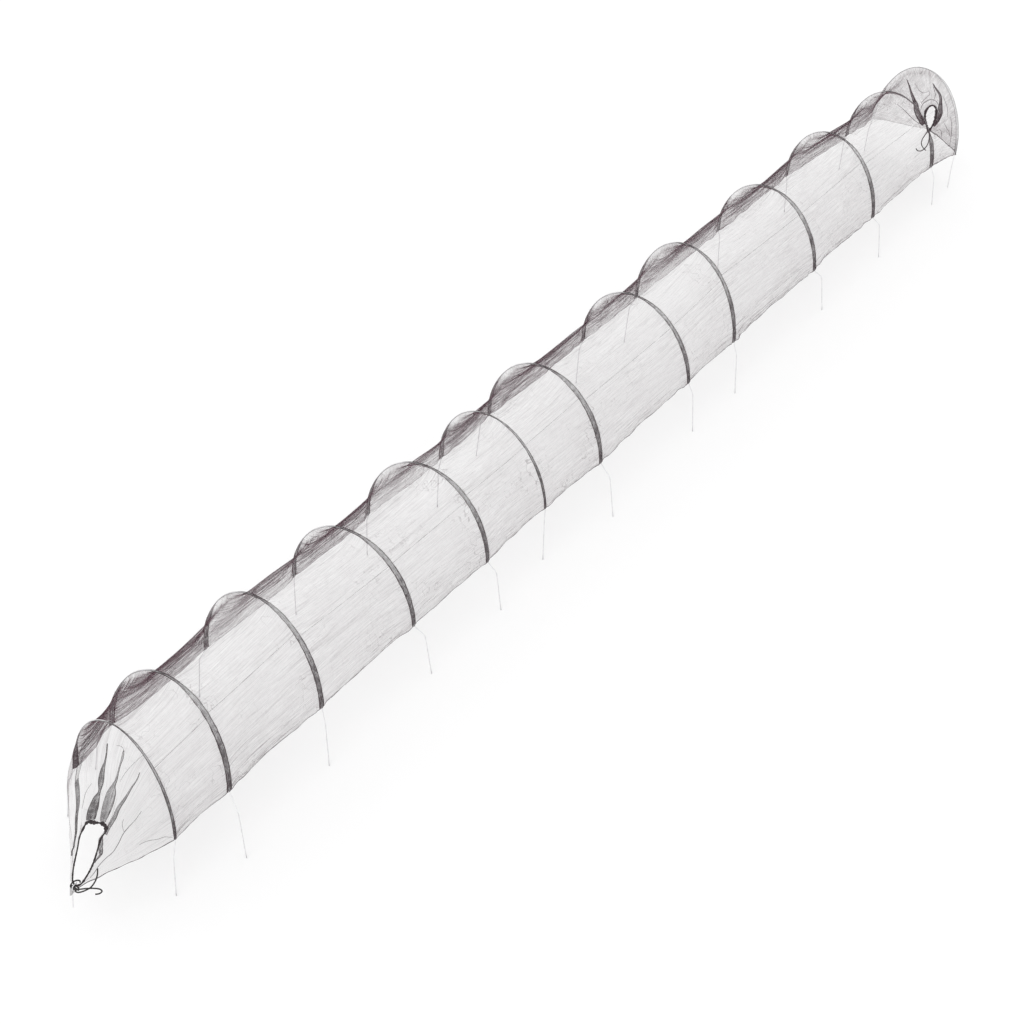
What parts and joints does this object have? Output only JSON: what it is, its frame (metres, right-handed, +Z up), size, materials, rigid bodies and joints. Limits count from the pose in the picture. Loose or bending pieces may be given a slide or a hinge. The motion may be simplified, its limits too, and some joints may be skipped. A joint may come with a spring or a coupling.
{
  "type": "row cover tunnel",
  "caption": "Low garden tunnel of fine knitted net carried on wire hoops in sewn sleeves, folding like a concertina, with both ends gathered by drawcords.",
  "frame": {"origin": "centre of the box at the level of the leg tips, measured without the four loose cord tails", "axes": "+X runs along the row to the end whose flap is gathered close to the last hoop, -Y is the side wall nearer the camera, +Z is up"},
  "size_m": [6.3894, 0.7226, 0.652],
  "materials": {
    "hoop_wire_01": "dull galvanised wire",
    "hoop_wire_02": "dull galvanised wire",
    "hoop_wire_03": "dull galvanised wire",
    "hoop_wire_04": "dull galvanised wire",
    "hoop_wire_05": "dull galvanised wire",
    "hoop_wire_06": "dull galvanised wire",
    "hoop_wire_07": "dull galvanised wire",
    "hoop_wire_08": "dull galvanised wire",
    "hoop_wire_09": "dull galvanised wire",
    "hoop_wire_10": "dull galvanised wire",
    "hoop_wire_11": "dull galvanised wire",
    "hoop_wire_12": "dull galvanised wire",
    "hoop_wire_13": "dull galvanised wire",
    "sleeve_01": "doubled black-brown knitted net, stitched along both edges",
    "sleeve_02": "doubled black-brown knitted net, stitched along both edges",
    "sleeve_03": "doubled black-brown knitted net, stitched along both edges",
    "sleeve_04": "doubled black-brown knitted net, stitched along both edges",
    "sleeve_05": "doubled black-brown knitted net, stitched along both edges",
    "sleeve_06": "doubled black-brown knitted net, stitched along both edges",
    "sleeve_07": "doubled black-brown knitted net, stitched along both edges",
    "sleeve_08": "doubled black-brown knitted net, stitched along both edges",
    "sleeve_09": "doubled black-brown knitted net, stitched along both edges",
    "sleeve_10": "doubled black-brown knitted net, stitched along both edges",
    "sleeve_11": "doubled black-brown knitted net, stitched along both edges",
    "sleeve_12": "doubled black-brown knitted net, stitched along both edges",
    "sleeve_13": "doubled black-brown knitted net, stitched along both edges",
    "net_bay_01": "fine black-brown knitted net, see-through",
    "net_bay_02": "fine black-brown knitted net, see-through",
    "net_bay_03": "fine black-brown knitted net, see-through",
    "net_bay_04": "fine black-brown knitted net, see-through",
    "net_bay_05": "fine black-brown knitted net, see-through",
    "net_bay_06": "fine black-brown knitted net, see-through",
    "net_bay_07": "fine black-brown knitted net, see-through",
    "net_bay_08": "fine black-brown knitted net, see-through",
    "net_bay_09": "fine black-brown knitted net, see-through",
    "net_bay_10": "fine black-brown knitted net, see-through",
    "net_bay_11": "fine black-brown knitted net, see-through",
    "net_bay_12": "fine black-brown knitted net, see-through",
    "end_net_near": "fine black-brown knitted net, see-through",
    "end_net_far": "fine black-brown knitted net, see-through",
    "drawcord_near": "matt black braided cord",
    "drawcord_far": "matt black braided cord",
    "knot_near": "matt black braided cord",
    "knot_far": "matt black braided cord",
    "cord_tail_near_curl": "matt black braided cord",
    "cord_tail_near_slack": "matt black braided cord",
    "cord_tail_far_long": "matt black braided cord",
    "cord_tail_far_curl": "matt black braided cord",
    "ground_peg_near": "dull galvanised wire",
    "ground_peg_far": "dull galvanised wire"
  },
  "bodies": {
    "hoop_01": {"hoop_wire_01": "hoop_wire_01", "sleeve_01": "sleeve_01", "net_bay_01": "net_bay_01", "end_net_near": "end_net_near"},
    "hoop_02": {"hoop_wire_02": "hoop_wire_02", "sleeve_02": "sleeve_02", "net_bay_02": "net_bay_02"},
    "hoop_03": {"hoop_wire_03": "hoop_wire_03", "sleeve_03": "sleeve_03", "net_bay_03": "net_bay_03"},
    "hoop_04": {"hoop_wire_04": "hoop_wire_04", "sleeve_04": "sleeve_04", "net_bay_04": "net_bay_04"},
    "hoop_05": {"hoop_wire_05": "hoop_wire_05", "sleeve_05": "sleeve_05", "net_bay_05": "net_bay_05"},
    "hoop_06": {"hoop_wire_06": "hoop_wire_06", "sleeve_06": "sleeve_06", "net_bay_06": "net_bay_06"},
    "hoop_07": {"hoop_wire_07": "hoop_wire_07", "sleeve_07": "sleeve_07", "net_bay_07": "net_bay_07"},
    "hoop_08": {"hoop_wire_08": "hoop_wire_08", "sleeve_08": "sleeve_08", "net_bay_08": "net_bay_08"},
    "hoop_09": {"hoop_wire_09": "hoop_wire_09", "sleeve_09": "sleeve_09", "net_bay_09": "net_bay_09"},
    "hoop_10": {"hoop_wire_10": "hoop_wire_10", "sleeve_10": "sleeve_10", "net_bay_10": "net_bay_10"},
    "hoop_11": {"hoop_wire_11": "hoop_wire_11", "sleeve_11": "sleeve_11", "net_bay_11": "net_bay_11"},
    "hoop_12": {"hoop_wire_12": "hoop_wire_12", "sleeve_12": "sleeve_12", "net_bay_12": "net_bay_12"},
    "hoop_13": {"hoop_wire_13": "hoop_wire_13", "sleeve_13": "sleeve_13", "end_net_far": "end_net_far"},
    "gather_near": {"drawcord_near": "drawcord_near", "knot_near": "knot_near", "ground_peg_near": "ground_peg_near", "cord_tail_near_curl": "cord_tail_near_curl", "cord_tail_near_slack": "cord_tail_near_slack"},
    "gather_far": {"drawcord_far": "drawcord_far", "knot_far": "knot_far", "ground_peg_far": "ground_peg_far", "cord_tail_far_long": "cord_tail_far_long", "cord_tail_far_curl": "cord_tail_far_curl"}
  },
  "joints": [
    {"name": "bay_01_fold", "type": "slide", "parent": "hoop_01", "child": "hoop_02", "axis": [-1, 0, 0], "range_m": [0, 0.153], "deforming": ["net_bay_01"]},
    {"name": "bay_02_fold", "type": "slide", "parent": "hoop_02", "child": "hoop_03", "axis": [-1, 0, 0], "range_m": [0, 0.391], "deforming": ["net_bay_02"]},
    {"name": "bay_03_fold", "type": "slide", "parent": "hoop_03", "child": "hoop_04", "axis": [-1, 0, 0], "range_m": [0, 0.414], "deforming": ["net_bay_03"]},
    {"name": "bay_04_fold", "type": "slide", "parent": "hoop_04", "child": "hoop_05", "axis": [-1, 0, 0], "range_m": [0, 0.381], "deforming": ["net_bay_04"]},
    {"name": "bay_05_fold", "type": "slide", "parent": "hoop_05", "child": "hoop_06", "axis": [-1, 0, 0], "range_m": [0, 0.336], "deforming": ["net_bay_05"]},
    {"name": "bay_06_fold", "type": "slide", "parent": "hoop_06", "child": "hoop_07", "axis": [-1, 0, 0], "range_m": [0, 0.29], "deforming": ["net_bay_06"]},
    {"name": "bay_07_fold", "type": "slide", "parent": "hoop_07", "child": "hoop_08", "axis": [-1, 0, 0], "range_m": [0, 0.581], "deforming": ["net_bay_07"]},
    {"name": "bay_08_fold", "type": "slide", "parent": "hoop_08", "child": "hoop_09", "axis": [-1, 0, 0], "range_m": [0, 0.318], "deforming": ["net_bay_08"]},
    {"name": "bay_09_fold", "type": "slide", "parent": "hoop_09", "child": "hoop_10", "axis": [-1, 0, 0], "range_m": [0, 0.608], "deforming": ["net_bay_09"]},
    {"name": "bay_10_fold", "type": "slide", "parent": "hoop_10", "child": "hoop_11", "axis": [-1, 0, 0], "range_m": [0, 0.497], "deforming": ["net_bay_10"]},
    {"name": "bay_11_fold", "type": "slide", "parent": "hoop_11", "child": "hoop_12", "axis": [-1, 0, 0], "range_m": [0, 0.513], "deforming": ["net_bay_11"]},
    {"name": "bay_12_fold", "type": "slide", "parent": "hoop_12", "child": "hoop_13", "axis": [-1, 0, 0], "range_m": [0, 0.207], "deforming": ["net_bay_12"]},
    {"name": "near_end_gather", "type": "slide", "parent": "hoop_01", "child": "gather_near", "axis": [1, 0, 0], "range_m": [0, 0.21], "deforming": ["end_net_near"]},
    {"name": "far_end_gather", "type": "slide", "parent": "hoop_13", "child": "gather_far", "axis": [1, 0, 0], "range_m": [0, 0.25], "deforming": ["end_net_far"]}
  ]
}
